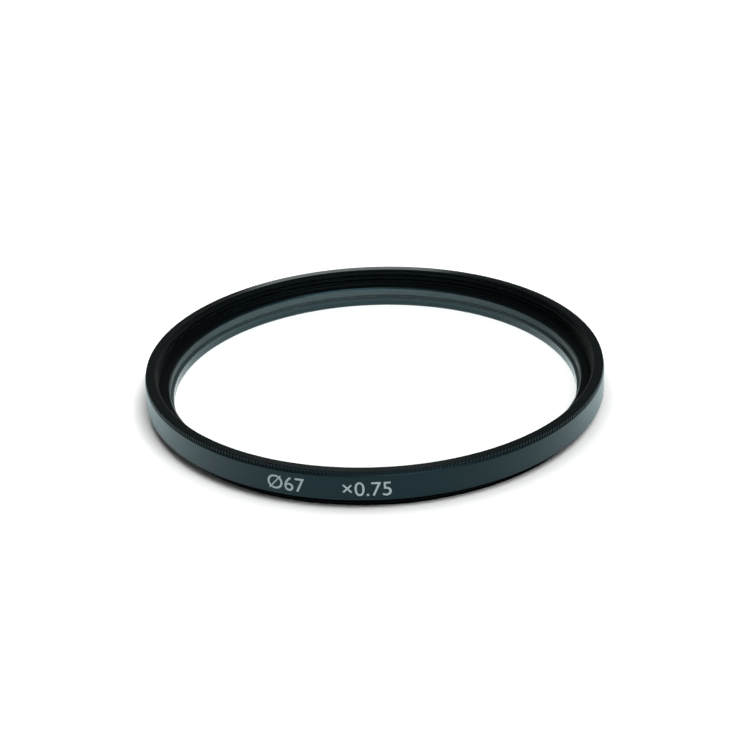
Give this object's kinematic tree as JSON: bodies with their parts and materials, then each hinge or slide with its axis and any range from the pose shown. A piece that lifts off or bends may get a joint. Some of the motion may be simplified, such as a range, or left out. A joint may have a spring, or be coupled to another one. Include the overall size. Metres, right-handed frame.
{
  "type": "screw-in lens filter",
  "caption": "Slim round screw-in filter: clear glass held by a threaded ring in a knurled black aluminium frame, with a female thread in front and a male thread behind.",
  "frame": {"origin": "middle of the rear end face, on the optical axis", "axes": "+Z along the optical axis, from the male rear thread to the female front thread; X and Y across the ring"},
  "size_m": [0.07, 0.07, 0.0062],
  "materials": {
    "black_anodised": "satin",
    "clear_glass": "polished",
    "black_retainer": "satin",
    "marking_ink": "matte"
  },
  "bodies": {
    "root": {"frame_ring": "black_anodised", "filter_glass": "clear_glass", "retaining_ring": "black_retainer"}
  },
  "joints": []
}
